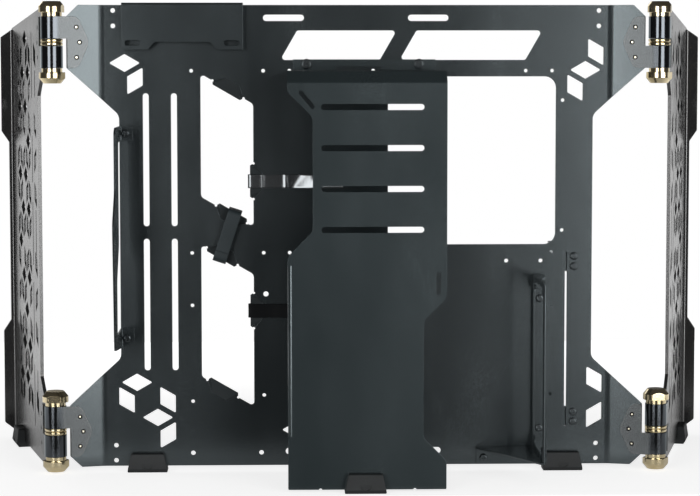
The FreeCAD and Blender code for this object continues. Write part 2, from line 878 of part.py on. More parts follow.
def wing_pattern():
    """Cube faces of a wing, row by row. Each row leaves some faces closed."""
    tops = ((0,), (-1, 1), (-2, 0), (1,), (-2, 0), (-1, 1), (-2,), (-1, 1), (0,), (-1, 1), (-2, 0))
    closed = (-0.5, 0.5, 0.5, None, -0.5, None, -1.5, 0.5, 0.5, -1.5, -0.5)
    outer = (0, 2, 3, 4, 6, 7, 8, 10)
    faces = []
    for row, columns in enumerate(tops):
        faces += [("top", column, row) for column in columns]
        places = [-2.5, -1.5, -0.5, 0.5, 1.5]
        if closed[row] is not None:
            places.remove(closed[row])
        if row in outer:
            places.append(3.5)
        for place in places:
            even = int(place - 0.5 + row) % 2 == 0
            column = place - 0.5 if even else place + 0.5
            faces.append(("left" if even else "right", column, row))
    return [(kind, -column, row) for kind, column, row in faces]


def wing_edge():
    """Outline of the wing panel, from the hinge side outwards, cut back to a waist between the hinges."""
    near = leaf_edge_gap
    low_ear, high_ear = wing_ear_rows
    low_waist, high_waist = wing_waist_rows
    radius = wing_corner_radius
    return [
        (near, plate_bottom, radius),
        (wing_reach, plate_bottom, 0.0),
        (wing_reach, wing_outer_top, 0.0),
        (near, wing_inner_top, radius),
        (near, high_ear, radius),
        (wing_waist, high_waist, radius),
        (wing_waist, low_waist, radius),
        (near, low_ear, radius),
    ]


def wing_flange_outline():
    """The wing seen from its end: the panel's thickness, with the outer flange to the +y side."""
    low, low_end, high_start, high = wing_grip_rows
    inner, face = leaf_face - wing_sheet, leaf_face
    wide, narrow = face + wing_outer_flange, face + wing_narrow_flange
    slant = wing_grip_slant
    radius = wing_corner_radius
    return [
        (inner - cut_margin, 0.0, 0.0),
        (face, 0.0, 0.0),
        (face, plate_bottom + cut_margin, 0.0),
        (wide, low, radius),
        (wide, low_end, radius),
        (narrow, low_end + slant, radius),
        (narrow, high_start - slant, radius),
        (wide, high_start, radius),
        (wide, high, radius),
        (face, wing_outer_top - cut_margin, 0.0),
        (face, plate_top, 0.0),
        (inner - cut_margin, plate_top, 0.0),
    ]


def build_wing(side):
    """One wing sheet in its own frame: x runs out from the hinge axis, +y is the outer face."""
    face = leaf_face
    inner = face - wing_sheet
    path = [(0.0, inner), (wing_reach, inner), (wing_reach, face + wing_outer_flange)]
    sheet = prism(folded_section(path, wing_sheet, bend_radius), on_xy, 0.0, plate_top)
    sheet = sheet.common(prism(wing_edge(), on_xz, -far, 2.0 * far))
    sheet = sheet.common(prism(wing_flange_outline(), on_yz, 0.0, 2.0 * wing_reach))
    start, length = inner - cut_margin, wing_sheet + 2.0 * cut_margin
    origin = (wing_lattice_start, wing_lattice_top)
    cuts = lattice_cut(wing_pattern(), origin, 0.0, start, length) + wing_slot_cuts(start, length)
    radius = rivet_radius + rivet_clearance
    for row in hinge_rows:
        cuts += [cylinder_y(dx, row + dz, radius, start, length) for dx, dz in rivet_rows]
    wing = sheet.cut(Part.makeCompound(cuts)).removeSplitter()
    placed = turned(wing, hinge_origin(-1), wing_turn(-1))
    return placed if side < 0 else mirrored_x(placed)


def wing_slot_cuts(start, length):
    near, middle, outer = wing_slot_columns
    rows = {
        near: ((325.0, 349.0), (185.0, 226.0), (60.0, 83.0)),
        middle: ((324.0, 383.5), (249.0, 291.0), (175.0, 232.0), (103.0, 160.0), (30.0, 86.0)),
        outer: ((330.0, 372.0), (248.0, 292.0), (176.0, 232.0), (104.0, 160.0), (34.0, 88.0)),
    }
    cuts = []
    for x, spans in rows.items():
        for low, high in spans:
            cuts.append(upright_slot_cut(x, low, high, wing_slot_width, on_xz, start, length))
    return cuts


def cover_outline():
    left, right = cover_left, cover_right
    low_left, high_left = cover_left_waist_rows
    low_right, high_right = cover_right_waist_rows
    radius = cover_corner_radius
    return [
        (left, cover_bottom, 1.0),
        (right, cover_bottom, 1.0),
        (right, low_right, radius),
        (right - cover_right_waist, low_right + cover_right_waist, radius),
        (right - cover_right_waist, high_right - cover_right_waist, radius),
        (right, high_right, radius),
        (right, cover_top + cover_flange_height + cut_margin, 0.0),
        (left, cover_top + cover_flange_height + cut_margin, 0.0),
        (left, high_left, radius),
        (left + cover_left_waist, high_left - cover_left_waist, radius),
        (left + cover_left_waist, low_left + cover_left_waist, radius),
        (left, low_left, radius),
    ]


def build_rear_cover():
    """A sheet screwed to the plate, led out over the power supply and down to the floor."""
    front = -cover_front
    path = [
        (-panel_sheet, cover_top + cover_flange_height),
        (-panel_sheet, cover_top),
        (front + cover_facet, cover_top),
        (front, cover_top - cover_facet),
        (front, cover_bottom),
    ]
    width = cover_right - cover_left
    sheet = prism(folded_section(path, panel_sheet, cover_bend_radius), on_yz, cover_left, width)
    sheet = sheet.common(prism(cover_outline(), on_xz, -far, 2.0 * far))
    cuts = cover_top_cuts() + cover_front_cuts(front - cut_margin, panel_sheet + 2.0 * cut_margin)
    cuts += [screw_hole(x, z) for x, z in cover_screw_places()]
    low, high = cover_return_rows
    back = bend_radius + panel_sheet
    edge = cover_left - cut_margin
    cuts.append(block((edge, front - cut_margin, low), (cover_left + back, front + back, high)))
    sheet = sheet.cut(Part.makeCompound(cuts))
    end = front + cover_return_depth
    bend_path = [(cover_left, end), (cover_left, front), (cover_left + back + bend_radius, front)]
    side = prism(folded_section(bend_path, panel_sheet, bend_radius), on_xy, low, high - low)
    side = side.common(block((edge, front, low), (cover_left + back, end, high)))
    trim = [
        (end + cut_margin, low + cover_return_trim, 0.0),
        (end + cut_margin, low - cut_margin, 0.0),
        (end - cover_return_trim, low - cut_margin, 0.0),
    ]
    side = side.cut(prism(trim, on_yz, edge, panel_sheet + 2.0 * cut_margin))
    return fuse_all([sheet, side])


def cover_top_cuts():
    """The flange is narrower than the cover, and a notch runs through its bend."""
    reach = -panel_sheet - bend_radius
    above = cover_top + cover_flange_height + 2.0 * cut_margin
    left, right = cover_notch
    notch_low = cover_top - 2.0 * panel_sheet
    return [
        block((cover_left - cut_margin, reach, cover_top), (cover_flange_left, cut_margin, above)),
        block((cover_flange_right, reach, cover_top), (cover_right + cut_margin, cut_margin, above)),
        block((left, -cover_notch_depth, notch_low), (right, cut_margin, cover_notch_top)),
    ]


def cover_front_cuts(start, length):
    """Four ventilation slots, two small slots near the edges and the half holes at the foot."""
    cuts = []
    end = cover_slot_left + cover_slot_length
    for index in range(cover_slot_count):
        z = cover_slot_first + index * cover_slot_pitch
        cuts.append(slot_cut(cover_slot_left, end, z, cover_slot_height, on_xz, start, length))
    inset, low, high, width = cover_edge_slot
    cuts.append(upright_slot_cut(cover_right - inset, low, high, width, on_xz, start, length))
    inset, z, slant_length, width, degrees = cover_slant_slot
    slant = slot_cut(-0.5 * slant_length, 0.5 * slant_length, 0.0, width, on_xz, start, length)
    slant.rotate(Vector(0.0, 0.0, 0.0), Vector(0.0, 1.0, 0.0), degrees)
    slant.translate(Vector(cover_left + inset, 0.0, z))
    cuts.append(slant)
    left_inset, right_inset = cover_pin_insets
    for x in (cover_left + left_inset, cover_right - right_inset):
        cuts.append(cylinder_y(x, cover_bottom, cover_pin_radius, start, length))
    return cuts


def screw_hole(x, z):
    """The hole of a bench screw through a tab on the cable face of the plate."""
    return cylinder_y(x, z, screw_hole_radius, -panel_sheet - cut_margin, panel_sheet + 2.0 * cut_margin)


def build_supply_bracket():
    """An upright ring for the power supply, with lips, two plate tabs and a low shelf."""
    x = supply_web_x
    sheet = panel_sheet
    low, high, deep = supply_bottom, supply_top, supply_depth
    rail = supply_rail
    lip_path = [(x, -sheet), (x, -deep), (x + supply_lip, -deep)]
    web = prism(folded_section(lip_path, sheet, tab_bend_radius), on_xy, low, high - low)
    front, back = -deep + rail, -supply_back_rail
    window = [(front, low + rail), (back, low + rail), (back, high - rail), (front, high - rail)]
    start, length = x - cut_margin, sheet + 2.0 * cut_margin
    web = web.cut(prism([(y, z, supply_window_radius) for y, z in window], on_yz, start, length))
    ears = []
    for y, z in supply_bolt_places():
        ear = cylinder_x(y, z, supply_ear_radius, x, sheet)
        ears.append(ear.common(block((x, -deep, low), (x + sheet, 0.0, high))))
    tabs = []
    section = tab_section(x, supply_tab_width)
    for z in supply_tab_rows:
        tabs.append(prism(section, on_xy, z - 0.5 * supply_tab_height, supply_tab_height))
    lip_start, lip_end = supply_top_lip_rows
    top_lip = [
        (x, -sheet, 0.0),
        (x + supply_top_lip, -sheet, 0.0),
        (x + supply_top_lip, -lip_start, 0.0),
        (x + supply_lip, -lip_end, 0.0),
        (x + supply_lip, -deep, 0.0),
        (x, -deep, 0.0),
    ]
    top = prism(top_lip, on_xy, high - sheet, sheet)
    shelf_left = x - supply_shelf_reach
    shelf = [
        (shelf_left, -sheet, 0.0),
        (x + sheet, -sheet, 0.0),
        (x + sheet, -deep, 0.0),
        (x - supply_shelf_tip, -deep, 0.0),
        (shelf_left, -supply_shelf_front, 0.0),
    ]
    shelf = prism(shelf, on_xy, low - 0.5 * sheet, sheet)
    tab_low = low - supply_shelf_tab_drop
    tab_right = shelf_left + supply_shelf_tab_width
    drop = block((shelf_left, -sheet, tab_low), (tab_right, 0.0, low + 0.5 * sheet))
    bracket = fuse_all([web, top, shelf, drop] + ears + tabs)
    cuts = [screw_hole(a, b) for a, b in supply_screw_places()]
    cuts += [cylinder_x(y, z, supply_bolt_radius, start, length) for y, z in supply_bolt_places()]
    return bracket.cut(Part.makeCompound(cuts)).removeSplitter()


def tab_section(x, width):
    """Section of a tab bent off an upright web onto the cable face of the plate."""
    inner = tab_bend_radius
    outer = inner + panel_sheet
    root = -2.0 * outer
    return [
        (x, root, 0.0),
        (x + panel_sheet, root, 0.0),
        (x + panel_sheet, -panel_sheet, inner),
        (x + width, -panel_sheet, 0.0),
        (x + width, 0.0, 0.0),
        (x, 0.0, outer),
    ]


def supply_bolt_places():
    """Standard four-screw pattern of a power supply, centred in the ring."""
    y = -0.5 * supply_depth
    z = 0.5 * (supply_bottom + supply_top)
    dy, dz = 0.5 * supply_bolt_depth, 0.5 * supply_bolt_rows
    return [(y + sy * dy, z + sz * dz) for sy in (-1, 1) for sz in (-1, 1)]


def build_side_bracket():
    """A thin upright web off the waist, on two arms with tabs on the plate."""
    x = side_web_x
    (low_a, low_b), (high_a, high_b) = side_arm_rows
    root = -panel_sheet - tab_bend_radius
    wide, small = side_wide_radius, side_small_radius
    outline = [
        (root, low_a, 0.0),
        (-side_low_reach, low_a + side_low_rise, small),
        (-side_reach, side_reach_row, wide),
        (-side_high_reach, side_high_row, wide),
        (-side_high_reach, high_b - side_top_drop, small),
        (-side_top_reach, high_b, small),
        (root, high_b, 0.0),
        (root, high_a, 0.0),
        (-side_waist_reach, high_a, small),
        (-side_waist_reach, side_waist_row, wide),
        (-side_inner_reach, side_inner_row, wide),
        (-side_inner_reach, low_b, small),
        (root, low_b, 0.0),
    ]
    parts = [prism(outline, on_yz, x, panel_sheet)]
    for low, high in side_arm_rows:
        parts.append(prism(tab_section(x, side_tab_reach), on_xy, low, high - low))
    cuts = [screw_hole(a, b) for a, b in side_screw_places()]
    start, length = x - cut_margin, panel_sheet + 2.0 * cut_margin
    for reach, z in side_holes:
        cuts.append(cylinder_x(-reach, z, side_hole_radius, start, length))
    reach, low, high, width = side_slot
    cuts.append(upright_slot_cut(-reach, low, high, width, on_yz, start, length))
    return fuse_all(parts).cut(Part.makeCompound(cuts)).removeSplitter()


def build_top_bracket():
    """A plate hung over the upper edge, its face stood off on the cable side."""
    clear = hook_clearance
    front = -hook_stand_off
    over = plate_top + clear
    back = plate_sheet + clear
    path = [
        (front, hook_bottom),
        (front, over + panel_sheet),
        (back + panel_sheet, over + panel_sheet),
        (back + panel_sheet, over + panel_sheet - hook_lip),
    ]
    section = folded_section(path[::-1], panel_sheet, hook_clearance)
    body = prism(section, on_yz, hook_left, hook_width)
    under = over + 0.5 * panel_sheet
    wall = [
        (front, hook_bottom, 0.0),
        (-clear, hook_bottom, 0.0),
        (-clear, under, 0.0),
        (front + panel_sheet, under, 0.0),
        (front, over - panel_sheet, 0.0),
    ]
    sides = [prism(wall, on_yz, x, panel_sheet) for x in (hook_left, hook_left + hook_width - panel_sheet)]
    body = fuse_all([body] + sides)
    middle = hook_left + 0.5 * hook_width
    half = 0.5 * hook_cut_width
    foot = half + hook_cut_lean
    rise = hook_bottom + hook_cut_height
    notch = [
        (middle - foot, hook_bottom - cut_margin, 0.0),
        (middle + foot, hook_bottom - cut_margin, 0.0),
        (middle + half, rise, 1.0),
        (middle - half, rise, 1.0),
    ]
    start, length = front - cut_margin, panel_sheet + 2.0 * cut_margin
    cuts = [prism(notch, on_xz, start, length)]
    for centre in (hook_left + hook_slot_inset, hook_left + hook_width - hook_slot_inset):
        a0, a1 = centre - 0.5 * hook_slot_length, centre + 0.5 * hook_slot_length
        z = hook_bottom + hook_slot_rise
        cuts.append(slot_cut(a0, a1, z, hook_slot_height, on_xz, start, length))
    return body.cut(Part.makeCompound(cuts)).removeSplitter()


def card_rows():
    middle = 0.5 * (card_bottom + card_top)
    return [middle + (index - 0.5 * (card_count - 1)) * card_pitch for index in range(card_count)]


def build_card_bracket():
    """The upright comb that holds expansion cards, pushed through its slot in the plate."""
    x = card_web_x
    sheet = panel_sheet
    end = card_depth
    inner, outer = card_bend_radius, card_bend_radius + sheet
    seat = x + card_seat_width
    section = [
        (x, 0.0, 0.0),
        (x, end, outer),
        (seat, end, 0.0),
        (seat, end - sheet, 0.0),
        (x + sheet, end - sheet, inner),
        (x + sheet, 0.0, 0.0),
    ]
    body = prism(section, on_xy, card_bottom, card_top - card_bottom)
    front = plate_sheet
    tab = [
        (x, front + card_tab_back, 0.0),
        (x, front, 0.0),
        (x + card_tab_reach, front, 0.0),
        (x + card_tab_reach, front + sheet, 0.0),
        (x + sheet, front + sheet, inner),
        (x + sheet, front + card_tab_back, 0.0),
    ]
    tabs = [prism(tab, on_xy, low, card_tab_height) for low in (card_bottom, card_top - card_tab_height)]
    start, length = -cut_margin, sheet + 2.0 * cut_margin
    near, deep = card_opening_start, card_opening_end
    cuts = []
    for z in card_rows():
        low, high = z - 0.5 * card_opening, z + 0.5 * card_opening
        window = [(near, low), (deep, low), (deep, high), (near, high)]
        corners = [(a, b, card_opening_radius) for a, b in window]
        cuts.append(prism(corners, on_yz, x + start, length))
        seat_hole = x + card_seat_screw_share * card_seat_width
        cuts.append(cylinder_y(seat_hole, z, screw_hole_radius, end - sheet + start, length))
    cuts += [cylinder_y(a, b, screw_hole_radius, front + start, length) for a, b in card_screw_places()]
    return fuse_all([body] + tabs).cut(Part.makeCompound(cuts)).removeSplitter()


def build_screw(x, z, seat, head_radius):
    """A round-headed cross screw. Its head sits at y = seat and its shank runs to +y."""
    height = screw_head_height
    profile = [
        (0.0, 0.0, 0.0),
        (head_radius, 0.0, 0.0),
        (head_radius, height, screw_crown_radius),
        (0.0, height, 0.0),
    ]
    head = spun(profile, 0.0)
    arms = []
    for along, across in ((cross_length, cross_width), (cross_width, cross_length)):
        low = (-0.5 * along, -0.5 * across, height - cross_depth)
        arms.append(block(low, (0.5 * along, 0.5 * across, height + 1.0)))
    head = head.cut(arms[0].fuse(arms[1]))
    shank = Part.makeCylinder(screw_shank_radius, screw_length, Vector(0.0, 0.0, -screw_length))
    screw = head.fuse(shank).removeSplitter()
    screw.rotate(Vector(0.0, 0.0, 0.0), Vector(1.0, 0.0, 0.0), 90.0)
    screw.translate(Vector(x, seat, z))
    return screw


def build_screws(places, head_radius):
    return Part.makeCompound([build_screw(x, z, -panel_sheet, head_radius) for x, z in places])


def build_card_screws():
    """The card bracket's screws pass through the plate from the cable side."""
    return Part.makeCompound([build_screw(x, z, 0.0, screw_head_radius) for x, z in card_screw_places()])


def build_foot(sheet, sole):
    """A rubber block clipped on a lower sheet edge. The sheet lies at y = 0 to sheet."""
    middle = 0.5 * sheet
    wide, narrow = middle + foot_side, middle + foot_top_side
    rise = 1.5 * foot_chamfer
    section = [
        (middle - wide + foot_chamfer, 0.0, 0.0),
        (middle + wide - foot_chamfer, 0.0, 0.0),
        (middle + wide, rise, foot_edge_radius),
        (middle + narrow, foot_height, foot_top_radius),
        (middle - narrow, foot_height, foot_top_radius),
        (middle - wide, rise, foot_edge_radius),
    ]
    half, top = 0.5 * foot_length, 0.5 * foot_top_length
    shoulder = half - foot_shoulder_inset
    edge, crown = foot_edge_radius, foot_top_radius
    right = [(half, 0.0, edge), (shoulder, foot_shoulder, edge), (top, foot_height, crown)]
    front = right + [(-x, z, radius) for x, z, radius in right[::-1]]
    body = prism(section, on_yz, -half, foot_length).common(prism(front, on_xz, -far, 2.0 * far))
    clear = foot_grip_clearance
    low = (-half - cut_margin, -clear, sole - clear)
    body = body.cut(block(low, (half + cut_margin, sheet + clear, foot_height + cut_margin)))
    recess = wide - foot_recess_depth
    for start in (middle + recess, middle - recess - far):
        body = body.cut(cylinder_y(0.0, foot_recess_rise, foot_recess_radius, start, far))
    return body


def build_feet(nodes):
    plate_foot = build_foot(plate_sheet, plate_bottom)
    for x, name in zip(main_foot_x, ("left_main_foot", "right_main_foot")):
        nodes[name] = turned(plate_foot, Vector(x, 0.0, 0.0), 0.0)
    cover_place = Vector(cover_foot_x, -cover_front, 0.0)
    nodes["cover_foot"] = turned(build_foot(panel_sheet, cover_bottom), cover_place, 0.0)
    wing_foot = build_foot(wing_sheet, plate_bottom)
    wing_foot.translate(Vector(wing_foot_start + 0.5 * foot_length, leaf_face - wing_sheet, 0.0))
    placed = turned(wing_foot, hinge_origin(-1), wing_turn(-1))
    nodes["left_wing_foot"] = placed
    nodes["right_wing_foot"] = mirrored_x(placed)


def build_edge_strap(z, end):
    """A strap flat on the cable face that turns round a scoop's lip and runs on behind the plate."""
    window = cable_window_left + cable_window_width
    edge = window - scoop_lip - strap_gap
    land = window + scoop_depth + strap_landing
    back = plate_sheet + strap_seat_gap
    path = [
        (end, -strap_seat_gap),
        (edge, -strap_seat_gap),
        (edge, back + scoop_rise + strap_seat_gap),
        (land, back),
        (edge + strap_back_length, back),
    ]
    section = folded_section(path, strap_sheet, strap_bend_radius)
    return prism(section, on_xy, z - 0.5 * strap_width, strap_width)


def loop_outline(half, front, back, grown):
    """The inside of a strap loop, or its outside when grown by the strap's thickness."""
    front_radius = loop_front_radius - strap_sheet + grown
    back_radius = loop_back_radius - strap_sheet + grown
    return [
        (-half - grown, front - grown, front_radius),
        (half + grown, front - grown, front_radius),
        (half + grown, back + grown, back_radius),
        (-half - grown, back + grown, back_radius),
    ]


def build_middle_strap():
    """A loose closed loop round the bridge between the two cable windows."""
    slant = math.radians(cable_window_slant)
    centre = cable_window_left + 0.5 * cable_window_width
    half_drop = 0.5 * cable_window_width * math.tan(slant)
    high = upper_cable_window[0] - half_drop
    low = lower_cable_window[1] - half_drop
    middle = 0.5 * (high + low)
    skew = 0.5 * strap_width * math.tan(slant - math.radians(strap_lean))
    half = 0.5 * (high - low) * math.cos(slant) + scoop_lip + strap_gap + strap_seat_gap + skew
    front = -loop_stand_off
    back = plate_sheet + scoop_rise + 2.0 * strap_seat_gap
    low_end = -0.5 * strap_width
    band = prism(loop_outline(half, front, back, strap_sheet), on_xy, low_end, strap_width)
    inside = loop_outline(half, front, back, 0.0)
    strap = band.cut(prism(inside, on_xy, low_end - cut_margin, strap_width + 2.0 * cut_margin))
    strap.rotate(Vector(0.0, 0.0, 0.0), Vector(0.0, 1.0, 0.0), strap_lean - 90.0)
    strap.translate(Vector(centre, 0.0, middle))
    return strap


def build_all():
    nodes = {}
    nodes["main_plate"] = build_main_plate()
    nodes["rear_cover"] = build_rear_cover()
    nodes["supply_bracket"] = build_supply_bracket()
    nodes["side_bracket"] = build_side_bracket()
    nodes["top_bracket"] = build_top_bracket()
    nodes["card_bracket"] = build_card_bracket()
    nodes["cover_screws"] = build_screws(cover_screw_places(), cover_screw_head)
    nodes["supply_bracket_screws"] = build_screws(supply_screw_places(), screw_head_radius)
    nodes["side_bracket_screws"] = build_screws(side_screw_places(), screw_head_radius)
    nodes["card_bracket_screws"] = build_card_screws()
    nodes["left_wing"] = build_wing(-1)
    nodes["right_wing"] = build_wing(1)
    nodes["upper_strap"] = build_edge_strap(upper_strap_z, upper_strap_end)
    nodes["lower_strap"] = build_edge_strap(lower_strap_z, lower_strap_end)
    nodes["middle_strap"] = build_middle_strap()
    build_hinges(nodes)
    build_feet(nodes)
    return nodes


def centre_depth(nodes):
    """Moves every piece so that the middle of the whole depth lies at y = 0."""
    box = Part.makeCompound(list(nodes.values())).BoundBox
    shift = -0.5 * (box.YMin + box.YMax)
    for shape in nodes.values():
        shape.translate(Vector(0.0, shift, 0.0))
    return shift


def main():
    os.makedirs("parts", exist_ok=True)
    nodes = build_all()
    shift = centre_depth(nodes)
    print("plate face at y =", round(shift, 4))
    print("hinge axis at", [round(value, 4) for value in hinge_origin(1) + Vector(0.0, shift, 0.0)])
    for name, shape in nodes.items():
        shape.exportStep("parts/" + name + ".step")
        print(name, "solids", len(shape.Solids), "volume", round(shape.Volume, 1), "valid", shape.isValid())


main()
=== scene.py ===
import json
import math
import bmesh
import bpy
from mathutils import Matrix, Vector


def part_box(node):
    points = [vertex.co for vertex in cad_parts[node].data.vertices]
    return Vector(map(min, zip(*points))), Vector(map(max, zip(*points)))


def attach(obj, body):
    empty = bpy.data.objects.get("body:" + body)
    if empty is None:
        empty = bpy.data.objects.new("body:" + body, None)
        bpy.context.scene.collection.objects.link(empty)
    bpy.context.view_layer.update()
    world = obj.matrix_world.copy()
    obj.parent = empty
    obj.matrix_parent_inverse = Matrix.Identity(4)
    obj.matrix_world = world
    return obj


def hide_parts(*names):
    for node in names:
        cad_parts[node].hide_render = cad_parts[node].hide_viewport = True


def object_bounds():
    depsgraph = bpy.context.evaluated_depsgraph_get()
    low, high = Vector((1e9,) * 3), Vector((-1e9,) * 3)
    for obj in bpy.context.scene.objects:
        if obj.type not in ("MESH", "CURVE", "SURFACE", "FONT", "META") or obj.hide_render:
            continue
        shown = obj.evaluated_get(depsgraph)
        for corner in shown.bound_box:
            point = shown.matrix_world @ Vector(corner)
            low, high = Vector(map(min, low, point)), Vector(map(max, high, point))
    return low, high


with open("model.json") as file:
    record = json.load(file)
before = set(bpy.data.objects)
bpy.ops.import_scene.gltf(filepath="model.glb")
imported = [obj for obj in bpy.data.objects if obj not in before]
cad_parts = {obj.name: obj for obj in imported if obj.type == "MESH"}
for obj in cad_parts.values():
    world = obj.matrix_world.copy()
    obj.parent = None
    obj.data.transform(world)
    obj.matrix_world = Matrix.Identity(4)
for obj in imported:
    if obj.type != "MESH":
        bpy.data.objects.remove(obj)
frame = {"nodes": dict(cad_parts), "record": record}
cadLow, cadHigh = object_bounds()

# An open test bench: dark coated sheet, pale brass hinges, rubber feet and cable straps.
# Everything is in metres and stands in the frame's own place.

nodes = frame["nodes"]
record = frame["record"]


# sRGB from 0 to 255, as the shaders want it
def linear(r, g, b):
    def value(c):
        return c / 255 / 12.92 if c <= 10 else ((c / 255 + 0.055) / 1.055) ** 2.4
    return value(r), value(g), value(b), 1.0


# Short calls for wiring the nodes of a finish or of the world. A noise is given as its scale, detail
# and roughness, and a span as the two values that become its ends.

shaderSockets = {
    "color": "Base Color", "metal": "Metallic", "rough": "Roughness", "normal": "Normal", "ior": "IOR",
    "specular": "Specular IOR Level", "tint": "Specular Tint",
}
white = (1.0, 1.0, 1.0, 1.0)
whole = (0.0, 1.0)
noiseSpan = (0.3, 0.7)    # where most of a noise's values lie
noiseMiddle = 0.5
cornerSpan = (0.98, 0.8)    # flatness, from where a corner's painted highlight starts to where it is full


class Wiring:
    def __init__(self, tree):
        self.tree = tree
        tree.nodes.clear()

    def add(self, kind, **settings):
        node = self.tree.nodes.new(kind)
        for key, value in settings.items():
            setattr(node, key, value)
        return node

    def link(self, source, target):
        self.tree.links.new(source, target)

    def feed(self, socket, value):
        if isinstance(value, bpy.types.NodeSocket):
            self.link(value, socket)
        else:
            socket.default_value = value

    def span(self, value, limits, ends=whole, smooth=False):
        kind = "SMOOTHSTEP" if smooth else "LINEAR"
        node = self.add("ShaderNodeMapRange", clamp=True, interpolation_type=kind)
        self.link(value, node.inputs["Value"])
        for key, number in zip(("From Min", "From Max", "To Min", "To Max"), limits + ends):
            self.feed(node.inputs[key], number)
        return node.outputs[0]

    def sums(self, operation, first, second=0.0):
        node = self.add("ShaderNodeMath", operation=operation)
        self.feed(node.inputs[0], first)
        self.feed(node.inputs[1], second)
        return node.outputs[0]

    # The straight distance of two parts at right angles
    def reach(self, first, second):
        return self.sums("SQRT", self.sums("ADD", self.sums("MULTIPLY", first, first),
                                           self.sums("MULTIPLY", second, second)))

    def parts(self, vector):
        node = self.add("ShaderNodeSeparateXYZ")
        self.link(vector, node.inputs[0])
        return node.outputs


class Finish(Wiring):
    def __init__(self, name):
        self.material = bpy.data.materials.new(name)
        self.material.use_nodes = True
        super().__init__(self.material.node_tree)
        self.out = self.add("ShaderNodeOutputMaterial")
        self.shader = self.add("ShaderNodeBsdfPrincipled")
        self.link(self.shader.outputs[0], self.out.inputs["Surface"])
        self.coords = self.add("ShaderNodeTexCoord").outputs["Object"]

    def put(self, **values):
        for key, value in values.items():
            self.feed(self.shader.inputs[shaderSockets[key]], value)

    def stretched(self, stretch):
        if stretch is None:
            return self.coords
        node = self.add("ShaderNodeMapping")
        node.inputs["Scale"].default_value = stretch
        self.link(self.coords, node.inputs["Vector"])
        return node.outputs[0]

    def noise(self, settings, stretch=None):
        node = self.add("ShaderNodeTexNoise")
        for key, number in zip(("Scale", "Detail", "Roughness"), settings):
            node.inputs[key].default_value = number
        self.link(self.stretched(stretch), node.inputs["Vector"])
        return node.outputs["Fac"]

    def cells(self, scale):
        node = self.add("ShaderNodeTexVoronoi")
        node.inputs["Scale"].default_value = scale
        self.link(self.coords, node.inputs["Vector"])
        return node.outputs["Color"]

    def blend(self, factor, first, second):
        node = self.add("ShaderNodeMix", data_type="RGBA")
        for key, kind, value in (("Factor", "VALUE", factor), ("A", "RGBA", first), ("B", "RGBA", second)):
            self.feed([s for s in node.inputs if s.name == key and s.type == kind][0], value)
        return [s for s in node.outputs if s.type == "RGBA"][0]

    def bump(self, height, distance, strength, under=None):
        node = self.add("ShaderNodeBump")
        node.inputs["Strength"].default_value = strength
        node.inputs["Distance"].default_value = distance
        self.link(height, node.inputs["Height"])
        if under is not None:
            self.link(under, node.inputs["Normal"])
        return node.outputs[0]

    def roundEdges(self, radius):
        node = self.add("ShaderNodeBevel", samples=4)
        node.inputs["Radius"].default_value = radius
        return node.outputs[0]

    # How nearly the rounded normal is the true one: 1 on a flat, less towards a corner
    def flatness(self, rounded):
        dot = self.add("ShaderNodeVectorMath", operation="DOT_PRODUCT")
        self.link(self.add("ShaderNodeNewGeometry").outputs["Normal"], dot.inputs[0])
        self.link(rounded, dot.inputs[1])
        return dot.outputs["Value"]


# Coated sheet: a fine grain, slow drifts in tone, small pale flecks painted as glints, and a pale line along
# its corners painted as a highlight

plateCoat = {
    "dark": linear(32, 40, 42), "light": linear(38, 46, 48), "drift": (9.0, 3.0, 0.6),
    "fleck": linear(56, 66, 70), "fleckScale": 2600.0, "fleckSpan": (0.82, 1.0), "fleckAmount": 0.3,
    "edge": linear(56, 65, 69), "edgeRadius": 0.0004, "edgeAmount": 0.15,
    "grain": (2400.0, 4.0, 0.65), "grainHeight": 0.00003, "rough": 0.23, "roughSway": 0.04,
    "smear": (14.0, 4.0, 0.55), "smearStretch": (1.0, 1.0, 0.35), "smearSpan": (0.35, 0.75),
    "smearRough": (-0.03, 0.04), "specular": 1.0, "ior": 1.6, "tint": (0.84, 0.96, 1.0, 1.0),
}
# a darker copy of the cover's coat: painted shade on the bracket
bracketCoat = dict(plateCoat, dark=linear(21, 26, 28), light=linear(26, 31, 33))
wingCoat = dict(plateCoat, dark=linear(34, 34, 34), light=linear(41, 41, 41), edge=linear(88, 88, 86),
                edgeAmount=0.1, edgeRadius=0.0002, tint=white)
screwBlack = dict(plateCoat, dark=linear(20, 21, 23), light=linear(28, 29, 32), edge=linear(70, 72, 74),
                  rough=0.24, drift=(60.0, 3.0, 0.6))

# The main plate is painted darker than the cover as shade, and its cut and pressed faces are painted nearly
# black as shade and made dull.
# Such a face is known by its turn from the front: a slight turn is enough in middleSpan, between the ears.
mainCoat = dict(plateCoat, dark=linear(14, 19, 21), light=linear(19, 24, 26), cut=linear(4, 5, 6),
                cutRough=0.6, cutSpan=(0.94, 0.84), pressSpan=(0.997, 0.988), middleSpan=(0.2, 0.19))


def coatColor(n, look, rounded):
    base = n.blend(n.span(n.noise(look["drift"]), noiseSpan), look["dark"], look["light"])
    # pale flecks: painted glints
    flecks = n.span(n.cells(look["fleckScale"]), look["fleckSpan"], (0.0, look["fleckAmount"]))
    # pale line along the corners: a painted highlight
    corner = n.sums("MULTIPLY", n.span(n.flatness(rounded), cornerSpan), look["edgeAmount"])
    return n.blend(corner, n.blend(flecks, base, look["fleck"]), look["edge"])


def turnedFaces(n, look):
    depth = n.sums("ABSOLUTE", n.parts(n.add("ShaderNodeTexCoord").outputs["Normal"])[1])
    middle = n.span(n.sums("ABSOLUTE", n.parts(n.coords)[0]), look["middleSpan"])
    pressed = n.sums("MULTIPLY", middle, n.span(depth, look["pressSpan"]))
    return n.sums("MAXIMUM", n.span(depth, look["cutSpan"]), pressed)


